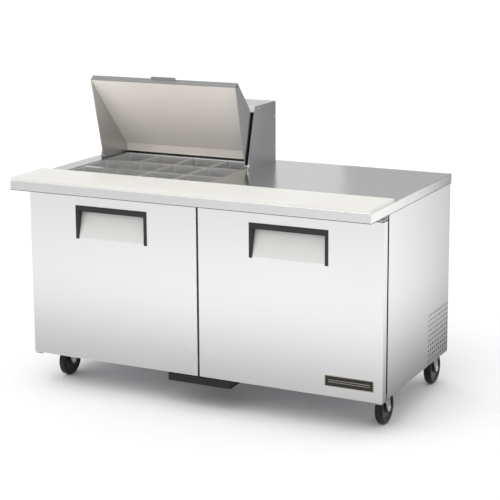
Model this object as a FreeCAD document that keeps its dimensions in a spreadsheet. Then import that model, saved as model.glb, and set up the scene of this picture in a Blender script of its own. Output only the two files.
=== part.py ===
import FreeCAD, Part
import math
import os
import Sketcher

# Two-door sandwich prep table: a refrigerated cabinet on castors, with a lift-out cutting board, a well of
# pans under a hinged insulated lid, and a fixed hood that the lid swings into.
# Millimetres. The origin is on the floor, in the middle of the whole footprint, which runs from the
# counter's front edge to the back of the rear wheels. +Z is up, +X runs along the counter to its
# right-hand end, and -Y is the side with the doors.

DIMENSIONS = [
    # alias, value, meaning
    ("table_width", 1534, "counter, end to end"),
    ("table_depth", 867, "counter, front to back"),
    ("table_height", 876, "floor to counter top"),
    ("fascia_drop", 38, "height of the counter's folded edge"),
    ("gauge", 1.5, "thickness of the stainless sheet"),
    ("skirt_height", 140, "floor to the bottom edge of the side panels"),
    ("door_setback", 130, "counter's front edge to the doors' front face"),
    ("door_thick", 38, "door, front to back, without its gasket"),
    ("seal_gap", 12, "back of a door to the cabinet's face"),
    ("door_bottom", 136, "floor to the bottom of the doors"),
    ("door_top", 819, "floor to the top of the doors"),
    ("door_split", 8, "gap between the two doors"),
    ("end_inset", 1, "cabinet's end behind the counter's end"),
    ("rear_overhang", 10, "counter's back edge beyond the rear panel"),
    ("wall_thick", 49, "insulation between the outer skin and the liner"),
    ("hinge_inset", 18, "door pin from the door's outer edge"),
    ("pin_radius", 5, "door hinge pin"),
    ("running_gap", 0.05, "radial clearance of a pin in its hole"),
    ("handle_width", 325, "door handle's frame"),
    ("handle_height", 136, "door handle's frame"),
    ("handle_top", 771, "floor to the top of the handle"),
    ("handle_bar", 23, "handle's top bar"),
    ("handle_side", 13, "handle's side bars"),
    ("recess_depth", 30, "finger recess, at its top"),
    ("board_depth", 230, "cutting board, front to back"),
    ("board_thick", 13, "cutting board"),
    ("hood_width", 702, "hood, side to side"),
    ("hood_inset", 55, "hood's left side from the counter's left end"),
    ("hood_height", 255, "hood's top above the counter"),
    ("hood_lip", 24, "hood's front lip"),
    ("hood_front_low", 587.5, "hood side's front corner at the counter, from the counter's front"),
    ("hood_front_top", 658, "hood's top front edge, from the counter's front"),
    ("hood_rear", 855, "hood's rear face, from the counter's front"),
    ("lid_inset", 11, "lid's side from the hood's side"),
    ("lid_thick", 27, "insulated panel of the lid"),
    ("lid_open_angle", 76, "lid's swing, closed to open"),
    ("pivot_back", 600, "lid pivot, from the counter's front"),
    ("pivot_up", 15, "lid pivot above the counter"),
    ("pivot_radius", 4, "lid pivot pins"),
    ("opening_width", 661, "opening for the pans"),
    ("opening_depth", 540, "opening for the pans, front to back"),
    ("opening_front", 235, "opening's front edge, from the counter's front"),
    ("pan_width", 162, "pan's rim along the counter"),
    ("pan_length", 176, "pan's rim, front to back"),
    ("pan_depth", 100, "pan, rim to bottom"),
    ("ledge_drop", 5, "pan ledge below the counter top"),
    ("wheel_radius", 63.5, "castor wheel"),
    ("wheel_width", 32, "castor wheel"),
    ("castor_height", 159, "floor to the castor's mounting plate, top face"),
    ("castor_inset", 59, "castor's swivel axis from the counter's end"),
    ("castor_front", 262, "front castors' swivel axis, from the counter's front"),
    ("castor_rear", 802, "rear castors' swivel axis, from the counter's front"),
    ("castor_trail", 38, "wheel axle behind the swivel axis"),
    ("vent_pitch_along", 23.8, "vent holes, front to back"),
    ("vent_pitch_up", 20.6, "vent holes, up"),
    ("vent_hole", 4.5, "vent hole's radius"),
]
PAN_ROWS = 3
PAN_COLUMNS = 4
ROW_GAP = 4
COLUMN_GAP = 2
LEDGE = 7
BAR_WIDTH = 16
BAR_HEIGHT = 8
WELL_TAPER = 3
VENT_HOLES = 10
SCREW_RADIUS = 2
PIN_REACH = 15

# The closed lid's outline, from its pivot: y towards the back, z up.
LIP_LOW = (-347, -12)
LIP_HIGH = (-357, 12.5)
LID_CROWN = 209
LID_KINK = 11
LID_REAR = 62

# Cabinet: sheet thicknesses, and the rear panel's two banks of air slots.
LINER = 1
FACE_THICK = 6
HINGE_PLATE = 3
SHELF_LEVELS = (360, 545)
SHELF_WIRE = 3
SLOT_BANKS = (-640, 240)
SLOT_COUNT = 8
SLOT_LOW = 178
SLOT_PITCH = 20
SLOT_LENGTH = 400
SLOT_HEIGHT = 8
GLAND_X = 672
GLAND_Z = 342
GLAND_RADIUS = 9
GLAND_BORE = 4.5
BADGE = (535, 175, 733, 219.5)

# Machine space and cold space. MACHINE_FRONT and the Y values are from the counter's front edge.
CAVITY_ROOF = 790
COLD_STEP = 590
COLD_REAR = 805
MACHINE_FRONT = 640
MACHINE_TOP = 365
COMPRESSOR_X = 400
COMPRESSOR_Y = 748
DOME_RADIUS = 76
TUBE_RADIUS = 5
TUBE_BEND = 30
CONDENSER_X = 700
FAN_Y = 747
FAN_Z = 262
EVAPORATOR_X = 120
EVAPORATOR_WIDTH = 420
EVAPORATOR_FRONT = 690
EVAPORATOR_LOW = 600
EVAPORATOR_FAN_X = 250
EVAPORATOR_FAN_Z = 692
KNOB_X = 500
KNOB_Z = 690

# Castors. Pedal sizes are from the swivel axis.
KINGPIN = 6
CROWN_TOP = 148
CROWN_LOW = 143
LEG_INSIDE = 19
LEG_THICK = 3
PEDAL_PIN = 2.5
PEDAL_PIN_Y = 74
PEDAL_PIN_Z = 124

doc = FreeCAD.newDocument("PrepTable")


class Size:
    """A size worked out from the sheet: the expression FreeCAD follows, and its present value."""

    def __init__(self, text, value):
        self.text = text
        self.value = value

    def _join(self, sign, other, value):
        return Size("(%s %s %s)" % (self.text, sign, other.text), value)

    def __add__(self, other):
        other = size(other)
        return self._join("+", other, self.value + other.value)

    def __sub__(self, other):
        other = size(other)
        return self._join("-", other, self.value - other.value)

    def __mul__(self, other):
        other = size(other)
        return self._join("*", other, self.value * other.value)

    def __truediv__(self, other):
        other = size(other)
        return self._join("/", other, self.value / other.value)

    def __neg__(self):
        return size(0) - self

    def __radd__(self, other):
        return size(other) + self

    def __rsub__(self, other):
        return size(other) - self

    def __rmul__(self, other):
        return size(other) * self


def size(value):
    return value if isinstance(value, Size) else Size("(%s)" % repr(float(value)), float(value))


def root(value):
    return Size("sqrt(%s)" % value.text, math.sqrt(value.value))


def make_sheet():
    sheet = doc.addObject("Spreadsheet::Sheet", "Dims")
    named = {}
    for row, (alias, value, meaning) in enumerate(DIMENSIONS, start=1):
        sheet.set("A%d" % row, meaning)
        sheet.set("B%d" % row, str(value))
        sheet.setAlias("B%d" % row, alias)
        named[alias] = Size("Dims." + alias, float(value))
    doc.recompute()
    return named


def bind(feature, prop, value):
    feature.setExpression(prop, size(value).text)


def vector(x, y, z=0.0):
    return FreeCAD.Vector(size(x).value, size(y).value, size(z).value)


# ---- sketches and PartDesign features ----

def new_body(label, exported=True):
    body = doc.addObject("PartDesign::Body", label)
    body.Label = label
    if exported:
        parts.append(body)
    return body


def new_sketch(body, plane, at=0.0):
    """A sketch on one of the body's origin planes, moved out to the coordinate at."""
    sketch = body.newObject("Sketcher::SketchObject", body.Name + "Sketch")
    face = [item for item in body.Origin.OriginFeatures if item.Role == plane + "_Plane"][0]
    sketch.AttachmentSupport = [(face, "")]
    sketch.MapMode = "FlatFace"
    # The XZ plane's normal points to -Y, the others' normals to +Z and +X.
    bind(sketch, "AttachmentOffset.Base.z", -size(at) if plane == "XZ" else at)
    return sketch


def fix_point(sketch, element, point, u, v):
    for kind, value in (("DistanceX", size(u)), ("DistanceY", size(v))):
        index = sketch.addConstraint(Sketcher.Constraint(kind, -1, 1, element, point, value.value))
        sketch.setExpression("Constraints[%d]" % index, value.text)


def add_polygon(sketch, corners):
    first = sketch.GeometryCount
    count = len(corners)
    for number, corner in enumerate(corners):
        following = corners[(number + 1) % count]
        sketch.addGeometry(Part.LineSegment(vector(*corner), vector(*following)), False)
    for number in range(count):
        joint = Sketcher.Constraint("Coincident", first + number, 2, first + (number + 1) % count, 1)
        sketch.addConstraint(joint)
    for number, corner in enumerate(corners):
        fix_point(sketch, first + number, 1, *corner)


def add_rectangle(sketch, u0, v0, u1, v1):
    add_polygon(sketch, [(u0, v0), (u1, v0), (u1, v1), (u0, v1)])


def add_rounded_rectangle(sketch, bounds, radius):
    """Four sides joined by quarter circles, anticlockwise from the lower side."""
    u0, u1, v0, v1 = [size(bound) for bound in bounds]
    sides = [((u0 + radius, v0), (u1 - radius, v0)), ((u1, v0 + radius), (u1, v1 - radius)),
             ((u1 - radius, v1), (u0 + radius, v1)), ((u0, v1 - radius), (u0, v0 + radius))]
    centres = [(u1 - radius, v0 + radius), (u1 - radius, v1 - radius),
               (u0 + radius, v1 - radius), (u0 + radius, v0 + radius)]
    for start, stop in sides:
        sketch.addGeometry(Part.LineSegment(vector(*start), vector(*stop)), False)
    for number, centre in enumerate(centres):
        circle = Part.Circle(vector(*centre), FreeCAD.Vector(0, 0, 1), radius)
        begin = (number - 1) * math.pi / 2
        sketch.addGeometry(Part.ArcOfCircle(circle, begin, begin + math.pi / 2), False)
    for number, (start, stop) in enumerate(sides):
        fix_point(sketch, number, 1, *start)
        fix_point(sketch, number, 2, *stop)
        corner = len(sides) + number
        sketch.addConstraint(Sketcher.Constraint("Coincident", corner, 1, number, 2))
        sketch.addConstraint(Sketcher.Constraint("Coincident", corner, 2, (number + 1) % len(sides), 1))
        sketch.addConstraint(Sketcher.Constraint("Radius", corner, radius))


def add_circle(sketch, u, v, radius):
    index = sketch.GeometryCount
    circle = Part.Circle(vector(u, v), FreeCAD.Vector(0, 0, 1), size(radius).value)
    sketch.addGeometry(circle, False)
    fix_point(sketch, index, 3, u, v)
    datum = sketch.addConstraint(Sketcher.Constraint("Radius", index, size(radius).value))
    sketch.setExpression("Constraints[%d]" % datum, size(radius).text)


def add_feature(body, kind, sketch, length=None, reverse=False, taper=0.0):
    """A Pad or Pocket of a sketch; a Pocket without a length goes through everything."""
    feature = body.newObject("PartDesign::" + kind, body.Name + kind)
    feature.Profile = sketch
    feature.Reversed = reverse
    feature.TaperAngle = taper
    if length is None:
        feature.Type = "ThroughAll"
    else:
        bind(feature, "Length", length)
    return feature


def pad_box(body, x0, x1, y0, y1, z0, z1, taper=0.0):
    sketch = new_sketch(body, "XY", z0)
    add_rectangle(sketch, x0, y0, x1, y1)
    return add_feature(body, "Pad", sketch, size(z1) - z0, taper=taper)


def pocket_box(body, x0, x1, y0, y1, z0, z1):
    sketch = new_sketch(body, "XY", z1)
    add_rectangle(sketch, x0, y0, x1, y1)
    return add_feature(body, "Pocket", sketch, size(z1) - z0)


def names_of(shapes, prefix, test):
    return ["%s%d" % (prefix, index) for index, item in enumerate(shapes, start=1) if test(item.BoundBox)]


def round_edges(body, feature, radius, test):
    """Rounds the edges whose bounding box passes the test."""
    doc.recompute()
    fillet = body.newObject("PartDesign::Fillet", body.Name + "Fillet")
    fillet.Base = (feature, names_of(feature.Shape.Edges, "Edge", test))
    bind(fillet, "Radius", radius)
    return fillet


def upright(box):
    return box.ZLength > 1 and box.XLength < 1e-3 and box.YLength < 1e-3


def flat_at(height):
    """Tests for edges that lie level at this height."""
    return lambda box: box.ZLength < 1e-3 and abs(box.ZMin - size(height).value) < 1e-3


def either(*tests):
    return lambda box: any(test(box) for test in tests)


# ---- Part primitives and booleans ----

def box(x0, x1, y0, y1, z0, z1):
    item = doc.addObject("Part::Box", "Block")
    for prop, low, high in (("Length", x0, x1), ("Width", y0, y1), ("Height", z0, z1)):
        bind(item, prop, size(high) - low)
    for prop, low in (("x", x0), ("y", y0), ("z", z0)):
        bind(item, "Placement.Base." + prop, low)
    return item


# How a cylinder that stands along +Z is turned to lie along each axis.
TURNS = {
    "x": (FreeCAD.Vector(0, 1, 0), 90),
    "y": (FreeCAD.Vector(1, 0, 0), -90),
    "z": (FreeCAD.Vector(0, 0, 1), 0),
}


def rod(radius, length, x, y, z, axis="z"):
    """A cylinder that starts at a point and runs along +X, +Y or +Z."""
    item = doc.addObject("Part::Cylinder", "Rod")
    bind(item, "Radius", radius)
    bind(item, "Height", length)
    item.Placement = FreeCAD.Placement(FreeCAD.Vector(), FreeCAD.Rotation(*TURNS[axis]))
    for prop, value in (("x", x), ("y", y), ("z", z)):
        bind(item, "Placement.Base." + prop, value)
    return item


def joined(*items):
    fuse = doc.addObject("Part::MultiFuse", "Joined")
    fuse.Shapes = list(items)
    return fuse


def grouped(*items):
    """Separate solids kept side by side in one sub-part."""
    group = doc.addObject("Part::Compound", "Group")
    group.Links = list(items)
    return group


def without(base, *tools):
    cut = doc.addObject("Part::Cut", "Without")
    cut.Base = base
    cut.Tool = tools[0] if len(tools) == 1 else grouped(*tools)
    return cut


def finish(label, item):
    item.Label = label
    parts.append(item)
    return item


parts = []
dim = make_sheet()

half_width = dim["table_width"] / 2
front = -(dim["castor_rear"] + dim["castor_trail"] + dim["wheel_radius"]) / 2
back = front + dim["table_depth"]
top = dim["table_height"]
gauge = dim["gauge"]
under_top = top - dim["fascia_drop"]
skirt = dim["skirt_height"]
end = half_width - dim["end_inset"]
inner_end = end - gauge
door_front = front + dim["door_setback"]
door_back = door_front + dim["door_thick"]
cabinet_front = door_back + dim["seal_gap"]
cabinet_back = back - dim["rear_overhang"]
floor_sheet = dim["castor_height"] + 2
cavity_end = inner_end - dim["wall_thick"]
cavity_floor = floor_sheet + dim["wall_thick"]
cavity_front = cabinet_front + FACE_THICK
hood_left = dim["hood_inset"] - half_width
hood_right = hood_left + dim["hood_width"]
opening_left = hood_left + (dim["hood_width"] - dim["opening_width"]) / 2
opening_right = opening_left + dim["opening_width"]
opening_front = front + dim["opening_front"]
opening_back = opening_front + dim["opening_depth"]
pan_ledge = top - dim["ledge_drop"]

pivot_y = front + dim["pivot_back"]
pivot_z = top + dim["pivot_up"]
hinge_y = door_front + 20


# ---- counter, hood and pan well ----

def make_countertop():
    """Folded sheet tray, open below, with the pan opening through it."""
    body = new_body("countertop")
    slab = pad_box(body, -half_width, half_width, front, back, under_top, top)
    round_edges(body, slab, 2.5, either(upright, flat_at(top)))
    pocket_box(body, gauge - half_width, half_width - gauge, front + gauge, back - gauge,
               under_top, top - gauge)
    pocket_box(body, opening_left, opening_right, opening_front, opening_back, under_top, top)


def make_hood():
    """Sheet box open below and in front, with a lip hanging from its slanted front edge."""
    body = new_body("hood")
    low_front = front + dim["hood_front_low"]
    lean = (dim["hood_front_top"] - dim["hood_front_low"]) / dim["hood_height"]
    rear = front + dim["hood_rear"]
    crown = top + dim["hood_height"]
    lip_end = dim["hood_height"] - dim["hood_lip"]
    sketch = new_sketch(body, "YZ", hood_left)
    add_polygon(sketch, [(low_front, top), (rear, top), (rear, crown),
                         (front + dim["hood_front_top"], crown)])
    shell = add_feature(body, "Pad", sketch, dim["hood_width"])
    round_edges(body, shell, 2, flat_at(crown))
    hollow = new_sketch(body, "YZ", hood_right - gauge)
    inner_crown = dim["hood_height"] - gauge
    add_polygon(hollow, [
        (low_front - 20, top - 5), (rear - gauge, top - 5), (rear - gauge, crown - gauge),
        (low_front + lean * inner_crown + gauge, crown - gauge),
        (low_front + lean * lip_end + gauge, top + lip_end), (low_front - 20, top + lip_end)])
    add_feature(body, "Pocket", hollow, dim["hood_width"] - 2 * gauge)
    holes = new_sketch(body, "YZ", hood_right + 1)
    add_circle(holes, pivot_y, pivot_z, dim["pivot_radius"] + dim["running_gap"])
    for y, z in hood_screw_places():
        add_circle(holes, y, z, SCREW_RADIUS + dim["running_gap"])
    add_feature(body, "Pocket", holes)


def hood_screw_places():
    """Three screws down each side of the hood: under the top and along its rear fold."""
    return [(front + 701, top + 243), (front + 845, top + 190), (front + 845, top + 64)]


def make_hood_fasteners():
    """Side screws and the two pins that the lid swings on, as separate solids."""
    solids = []
    for side, face in ((-1, hood_left), (1, hood_right)):
        for y, z in hood_screw_places():
            start = face - (3 * gauge if side > 0 else 0)
            head = face if side > 0 else face - 2
            solids.append(joined(rod(SCREW_RADIUS, 3 * gauge, start, y, z, "x"),
                                 rod(4.5, 2, head, y, z, "x")))
        start = face - (PIN_REACH if side > 0 else 0)
        head = face if side > 0 else face - 3
        solids.append(joined(rod(dim["pivot_radius"], PIN_REACH, start, pivot_y, pivot_z, "x"),
                             rod(7, 3, head, pivot_y, pivot_z, "x")))
    finish("hood_fasteners", grouped(*solids))


def make_pan_frame():
    """Sheet collar in the counter's opening, with a ledge along its front and back."""
    x0, x1 = opening_left + 0.5, opening_right - 0.5
    y0, y1 = opening_front + 0.5, opening_back - 0.5
    bottom = top - 45
    collar = without(box(x0, x1, y0, y1, bottom, top - gauge),
                     box(x0 + gauge, x1 - gauge, y0 + gauge, y1 - gauge, bottom - 1, top))
    finish("pan_frame", joined(
        collar,
        box(x0 + gauge, x1 - gauge, y0 + gauge, y0 + LEDGE, pan_ledge - gauge, pan_ledge),
        box(x0 + gauge, x1 - gauge, y1 - LEDGE, y1 - gauge, pan_ledge - gauge, pan_ledge)))


def row_start(row):
    """Front edge of a row of pans; row 0 is next to the cutting board."""
    spare = dim["opening_depth"] - PAN_ROWS * dim["pan_length"] - (PAN_ROWS - 1) * ROW_GAP
    return opening_front + spare / 2 + row * (dim["pan_length"] + ROW_GAP)


def column_start(column):
    spare = dim["opening_width"] - PAN_COLUMNS * dim["pan_width"] - (PAN_COLUMNS - 1) * COLUMN_GAP
    return opening_left + spare / 2 + column * (dim["pan_width"] + COLUMN_GAP)


def make_divider_bars():
    """Channel bars between the rows, which carry the pans' rims."""
    bars = []
    for row in range(1, PAN_ROWS):
        middle = row_start(row) - ROW_GAP / 2
        low, high = middle - BAR_WIDTH / 2, middle + BAR_WIDTH / 2
        left, right = opening_left + 0.5 + gauge, opening_right - 0.5 - gauge
        bars.append(without(box(left, right, low, high, pan_ledge - BAR_HEIGHT, pan_ledge),
                            box(left - 1, right + 1, low + gauge, high - gauge, pan_ledge - BAR_HEIGHT - 1,
                                pan_ledge - gauge)))
    finish("divider_bars", grouped(*bars))


def make_pan(row, column):
    """Sixth-size pan: a tapered well with round corners under a flat rim."""
    body = new_body("pan_row%d_%d" % (row + 1, column + 1))
    x0, y0 = column_start(column), row_start(row)
    x1, y1 = x0 + dim["pan_width"], y0 + dim["pan_length"]
    rim = pan_ledge + 0.1
    wall = 0.9
    plate = pad_box(body, x0, x1, y0, y1, rim, rim + 1.2)
    round_edges(body, plate, 8, upright)
    bottom = rim - dim["pan_depth"]
    add_well(body, "Pad", (x0 + 8, x1 - 8, y0 + 9, y1 - 9), rim, bottom, 14)
    hollow = add_well(body, "Pocket", (x0 + 8 + wall, x1 - 8 - wall, y0 + 9 + wall, y1 - 9 - wall),
                      rim + 1.2, bottom + wall, 13)
    inside = round_edges(body, hollow, 6, flat_at(bottom + wall))
    round_edges(body, inside, 6 + wall, flat_at(bottom))


def add_well(body, kind, bounds, level, bottom, radius):
    """Adds or cuts a tapered well with round corners."""
    sketch = new_sketch(body, "XY", level)
    add_rounded_rectangle(sketch, bounds, radius)
    return add_feature(body, kind, sketch, level - bottom, reverse=kind == "Pad", taper=-WELL_TAPER)


def make_cutting_board():
    body = new_body("cutting_board")
    lift = top + 0.1
    slab = pad_box(body, 0.5 - half_width, half_width - 0.5, front + 0.5, front + dim["board_depth"],
                   lift, lift + dim["board_thick"])
    edges = round_edges(body, slab, 5, upright)
    round_edges(body, edges, 1.5, flat_at(lift + dim["board_thick"]))


# ---- lid, drawn closed about its pivot and then swung open ----

lid_left = hood_left + dim["lid_inset"]
lid_right = hood_right - dim["lid_inset"]


def swing_open(body):
    """Turns a body drawn about the lid's pivot to the open position, and moves it to the pivot."""
    one_degree = FreeCAD.Rotation(FreeCAD.Vector(-1, 0, 0), 1)
    body.Placement = FreeCAD.Placement(FreeCAD.Vector(), one_degree)
    bind(body, "Placement.Rotation.Angle", dim["lid_open_angle"])
    bind(body, "Placement.Base.y", pivot_y)
    bind(body, "Placement.Base.z", pivot_z)


def make_lid_skin():
    """Outer sheet of the lid: sloping panel, flat rear, front lip, triangular wings, a pull tab."""
    body = new_body("lid_skin")
    sketch = new_sketch(body, "YZ", lid_left)
    add_polygon(sketch, [LIP_LOW, (0, -12), (8.5, -8.5), (12, 0), (LID_REAR, LID_CROWN),
                         (LID_KINK, LID_CROWN), LIP_HIGH])
    block = add_feature(body, "Pad", sketch, lid_right - lid_left)
    doc.recompute()
    shell = body.newObject("PartDesign::Thickness", "LidShell")
    shell.Base = (block, names_of(block.Shape.Faces, "Face", lid_mouth))
    shell.Reversed = True
    bind(shell, "Value", gauge)
    middle = (lid_left + lid_right) / 2
    tab = new_sketch(body, "YZ", middle - 57)
    add_polygon(tab, [(-353, 6), (-366, 8), (-366, 11), (-355, 11)])
    add_feature(body, "Pad", tab, 114)
    holes = new_sketch(body, "YZ", lid_right + 1)
    add_circle(holes, 0, 0, dim["pivot_radius"] + dim["running_gap"])
    add_feature(body, "Pocket", holes)
    swing_open(body)


def lid_mouth(face):
    """The lid block's underside and rear, which the sheet leaves open."""
    wide = face.XLength > 100
    underside = face.ZMax < -8 and face.YLength > 100
    return wide and (underside or face.YMin > -0.01)


def make_lid_liner():
    """Foam-filled inner panel that closes the slope, flush with the lip's lower edge."""
    body = new_body("lid_liner")
    run = size(LID_KINK) - LIP_HIGH[0]
    rise = size(LID_CROWN) - LIP_HIGH[1]
    steep = root(run * run + rise * rise) / run
    slope = rise / run
    outer_drop = gauge * steep + 0.2
    inner_drop = dim["lid_thick"] * steep
    inner_crown = LID_CROWN - dim["lid_thick"]
    start = size(LIP_HIGH[0] + 2)
    foot = size(LIP_LOW[0] + 2)

    def level_at(y, drop):
        return LIP_HIGH[1] + (size(y) - LIP_HIGH[0]) * slope - drop

    def reach_at(z, drop):
        return LIP_HIGH[0] + (size(z) - LIP_HIGH[1] + drop) / slope

    sketch = new_sketch(body, "YZ", lid_left + gauge)
    outer_crown = LID_CROWN - gauge
    add_polygon(sketch, [
        (foot, level_at(foot, inner_drop)), (reach_at(inner_crown, inner_drop), inner_crown),
        (54, inner_crown), (60, outer_crown), (reach_at(outer_crown, outer_drop), outer_crown),
        (start, level_at(start, outer_drop))])
    add_feature(body, "Pad", sketch, lid_right - lid_left - 2 * gauge)
    swing_open(body)


# ---- cabinet ----

def side_outline(body, at):
    sketch = new_sketch(body, "YZ", at)
    add_rectangle(sketch, cabinet_front, skirt, cabinet_back, under_top)
    return add_feature(body, "Pad", sketch, gauge)


def make_side_panels():
    side_outline(new_body("side_panel_left"), -end)
    body = new_body("side_panel_right")
    side_outline(body, end - gauge)
    column = new_sketch(body, "YZ", end + 1)
    first_y = front + 630
    first_z = top - 717
    for number in range(VENT_HOLES):
        add_circle(column, first_y, first_z + number * dim["vent_pitch_up"], dim["vent_hole"])
    pocket = add_feature(body, "Pocket", column)
    doc.recompute()
    pattern = body.newObject("PartDesign::LinearPattern", "VentColumns")
    pattern.Originals = [pocket]
    along = [item for item in body.Origin.OriginFeatures if item.Role == "Y_Axis"][0]
    pattern.Direction = (along, [""])
    pattern.Occurrences = VENT_HOLES
    bind(pattern, "Length", (VENT_HOLES - 1) * dim["vent_pitch_along"])
    body.Tip = pattern


def make_rear_panel():
    """Sheet back with two banks of air slots for the machine space."""
    body = new_body("rear_panel")
    sketch = new_sketch(body, "XZ", cabinet_back)
    add_rectangle(sketch, -inner_end, skirt, inner_end, under_top)
    add_feature(body, "Pad", sketch, gauge)
    slots = new_sketch(body, "XZ", cabinet_back - 5)
    for left in SLOT_BANKS:
        for level in range(SLOT_COUNT):
            low = SLOT_LOW + SLOT_PITCH * level
            add_rectangle(slots, left, low, left + SLOT_LENGTH, low + SLOT_HEIGHT)
    add_feature(body, "Pocket", slots)
    add_feature(body, "Pocket", gland_hole(body))


def gland_hole(body):
    sketch = new_sketch(body, "XZ", cabinet_back - 5)
    add_circle(sketch, GLAND_X, GLAND_Z, GLAND_RADIUS + dim["running_gap"])
    return sketch


def make_power_gland():
    """Empty cable gland for the mains lead."""
    start = cabinet_back - 12
    finish("power_gland", without(
        joined(rod(GLAND_RADIUS, 18, GLAND_X, start, GLAND_Z, "y"),
               rod(GLAND_RADIUS + 4, 4, GLAND_X, cabinet_back, GLAND_Z, "y")),
        rod(GLAND_BORE, 30, GLAND_X, start - 2, GLAND_Z, "y")))


def make_base_frame():
    """Floor sheet with a stiff rim folded down inside the skirts."""
    finish("base_frame", without(
        box(-inner_end, inner_end, cabinet_front, cabinet_back - gauge, skirt, floor_sheet),
        box(3 - inner_end, inner_end - 3, cabinet_front + 3, cabinet_back - gauge - 3, skirt - 1,
            dim["castor_height"])))


def make_insulated_body():
    """Foamed walls round the cold space, which steps forward over the machine space behind."""
    rear = cabinet_back - gauge
    roof = top - gauge
    cold_space = joined(
        box(-cavity_end, cavity_end, cavity_front - 1, front + COLD_STEP, cavity_floor, CAVITY_ROOF),
        box(-cavity_end, cavity_end, front + COLD_STEP - 10, front + COLD_REAR,
            MACHINE_TOP + 50, CAVITY_ROOF))
    machine_space = box(-inner_end - 1, inner_end + 1, front + MACHINE_FRONT, rear + 1,
                        floor_sheet - 1, MACHINE_TOP)
    pan_well = box(opening_left, opening_right, opening_front, opening_back, CAVITY_ROOF - 1, roof + 1)
    finish("insulated_body", without(
        box(-inner_end, inner_end, cavity_front, rear, floor_sheet, roof),
        cold_space, machine_space, pan_well))


def make_cabinet_liner():
    """Inner sheet of the cold space, with pressed-in rails for the shelves."""
    def space(inset, extend, front_face):
        lower = box(inset - cavity_end, cavity_end - inset, front_face, front + COLD_STEP - inset,
                    cavity_floor + inset, CAVITY_ROOF - inset)
        upper = box(inset - cavity_end, cavity_end - inset,
                    front + COLD_STEP - 10 - extend, front + COLD_REAR - inset,
                    MACHINE_TOP + 50 + inset, CAVITY_ROOF - inset)
        return joined(lower, upper)

    well = box(opening_left, opening_right, opening_front, opening_back, CAVITY_ROOF - 5, CAVITY_ROOF + 5)
    shell = without(space(0, 0, cavity_front), space(LINER, 10, cavity_front - 1), well)
    rails = []
    for level in SHELF_LEVELS:
        for low, high in ((LINER - cavity_end, 9 - cavity_end), (cavity_end - 9, cavity_end - LINER)):
            rails.append(box(low, high, cabinet_front + 40, front + 570, level - 6, level))
    finish("cabinet_liner", joined(shell, *rails))


def make_front_frame():
    """Face of the cabinet round the two doorways, with a centre post and a flange under the counter."""
    doorways = []
    for low, high in ((-cavity_end, size(-35)), (size(35), cavity_end)):
        doorways.append(box(low, high, cabinet_front - 1, cavity_front + 1, cavity_floor, CAVITY_ROOF))
    plate = without(
        box(-inner_end, inner_end, cabinet_front, cavity_front, floor_sheet, under_top + 3), *doorways)
    flange = box(gauge + 1 - half_width, half_width - gauge - 1, front + gauge + 1, cabinet_front + 1,
                 under_top + 1, under_top + 3)
    post = box(-30, 30, cavity_front, cavity_front + 30, cavity_floor + LINER, CAVITY_ROOF - LINER)
    post_ledges = [box(-34, 34, cavity_front + 6, cavity_front + 30, level - 6, level)
                   for level in SHELF_LEVELS]
    finish("front_frame", joined(plate, flange, post, *post_ledges))


def wire_shelf(left, right, level):
    """One shelf: a round-wire frame with wires running front to back."""
    low, high = cabinet_front + 45, front + 565
    middle = level + SHELF_WIRE
    wires = [rod(SHELF_WIRE, right - left, left, y, middle, "x") for y in (low, (low + high) / 2, high)]
    count = 16
    for number in range(count + 1):
        x = left + (right - left) * number / count
        wires.append(rod(2 if 0 < number < count else SHELF_WIRE, high - low, x, low, middle, "y"))
    return joined(*wires)


def make_wire_shelves():
    reach = cavity_end - LINER - SHELF_WIRE - 1
    shelves = []
    for level in SHELF_LEVELS:
        shelves.append(wire_shelf(-reach, size(-20), level + 0.1))
        shelves.append(wire_shelf(size(20), reach, level + 0.1))
    finish("wire_shelves", grouped(*shelves))


def make_hinge_brackets():
    """Four pivot plates, each with the pin that a door turns on."""
    brackets = []
    for side in (-1, 1):
        axis = side * (end - dim["hinge_inset"])
        low, high = axis - 15, axis + 15
        plate_top = dim["door_bottom"] - 2
        brackets.append(joined(
            box(low, high, hinge_y - 17, hinge_y + 68, plate_top - HINGE_PLATE, plate_top),
            box(low, high, cabinet_front + 3, hinge_y + 68, plate_top, skirt),
            rod(dim["pin_radius"], 20, axis, hinge_y, plate_top)))
        plate_low = dim["door_top"] + 3
        brackets.append(joined(
            box(low, high, hinge_y - 17, cabinet_front, plate_low, plate_low + HINGE_PLATE),
            box(low, high, cabinet_front - 8, cabinet_front, plate_low, under_top + 1),
            rod(dim["pin_radius"], 20, axis, hinge_y, plate_low - 19)))
    finish("hinge_brackets", grouped(*brackets))


def make_lower_front_cover():
    """Plastic housing that hangs from the floor sheet and shows under the doors."""
    face = door_front + 3
    finish("lower_front_cover", joined(
        box(-137, 137, face, front + 330, 102, dim["door_bottom"] - 4),
        box(-137, 137, front + 225, front + 330, 125, dim["castor_height"])))


# ---- doors ----

def make_door(name, side):
    """One door, hinged at its outer edge: sheet skin with a finger recess, core, gasket and handle."""
    outer, inner = end, dim["door_split"] / 2
    x0, x1 = (inner, outer) if side > 0 else (-outer, -inner)
    middle = (x0 + x1) / 2
    pin = side * (end - dim["hinge_inset"])
    make_door_skin(name, x0, x1, middle, pin)
    make_door_liner(name, x0, x1, middle, pin)
    make_gasket(name, x0, x1)
    make_handle(name, middle)


def handle_box(middle, margin):
    half = dim["handle_width"] / 2 + margin
    low, high = dim["handle_top"] - dim["handle_height"] - margin, dim["handle_top"] + margin
    return middle - half, middle + half, low, high


def pin_holes(body, pin):
    """Holes for the two hinge pins, down from the door's top and up from its bottom."""
    for level, reverse in ((dim["door_top"] + 1, False), (dim["door_bottom"] - 1, True)):
        sketch = new_sketch(body, "XY", level)
        add_circle(sketch, pin, hinge_y, dim["pin_radius"] + dim["running_gap"])
        add_feature(body, "Pocket", sketch, 24, reverse=reverse)


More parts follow.
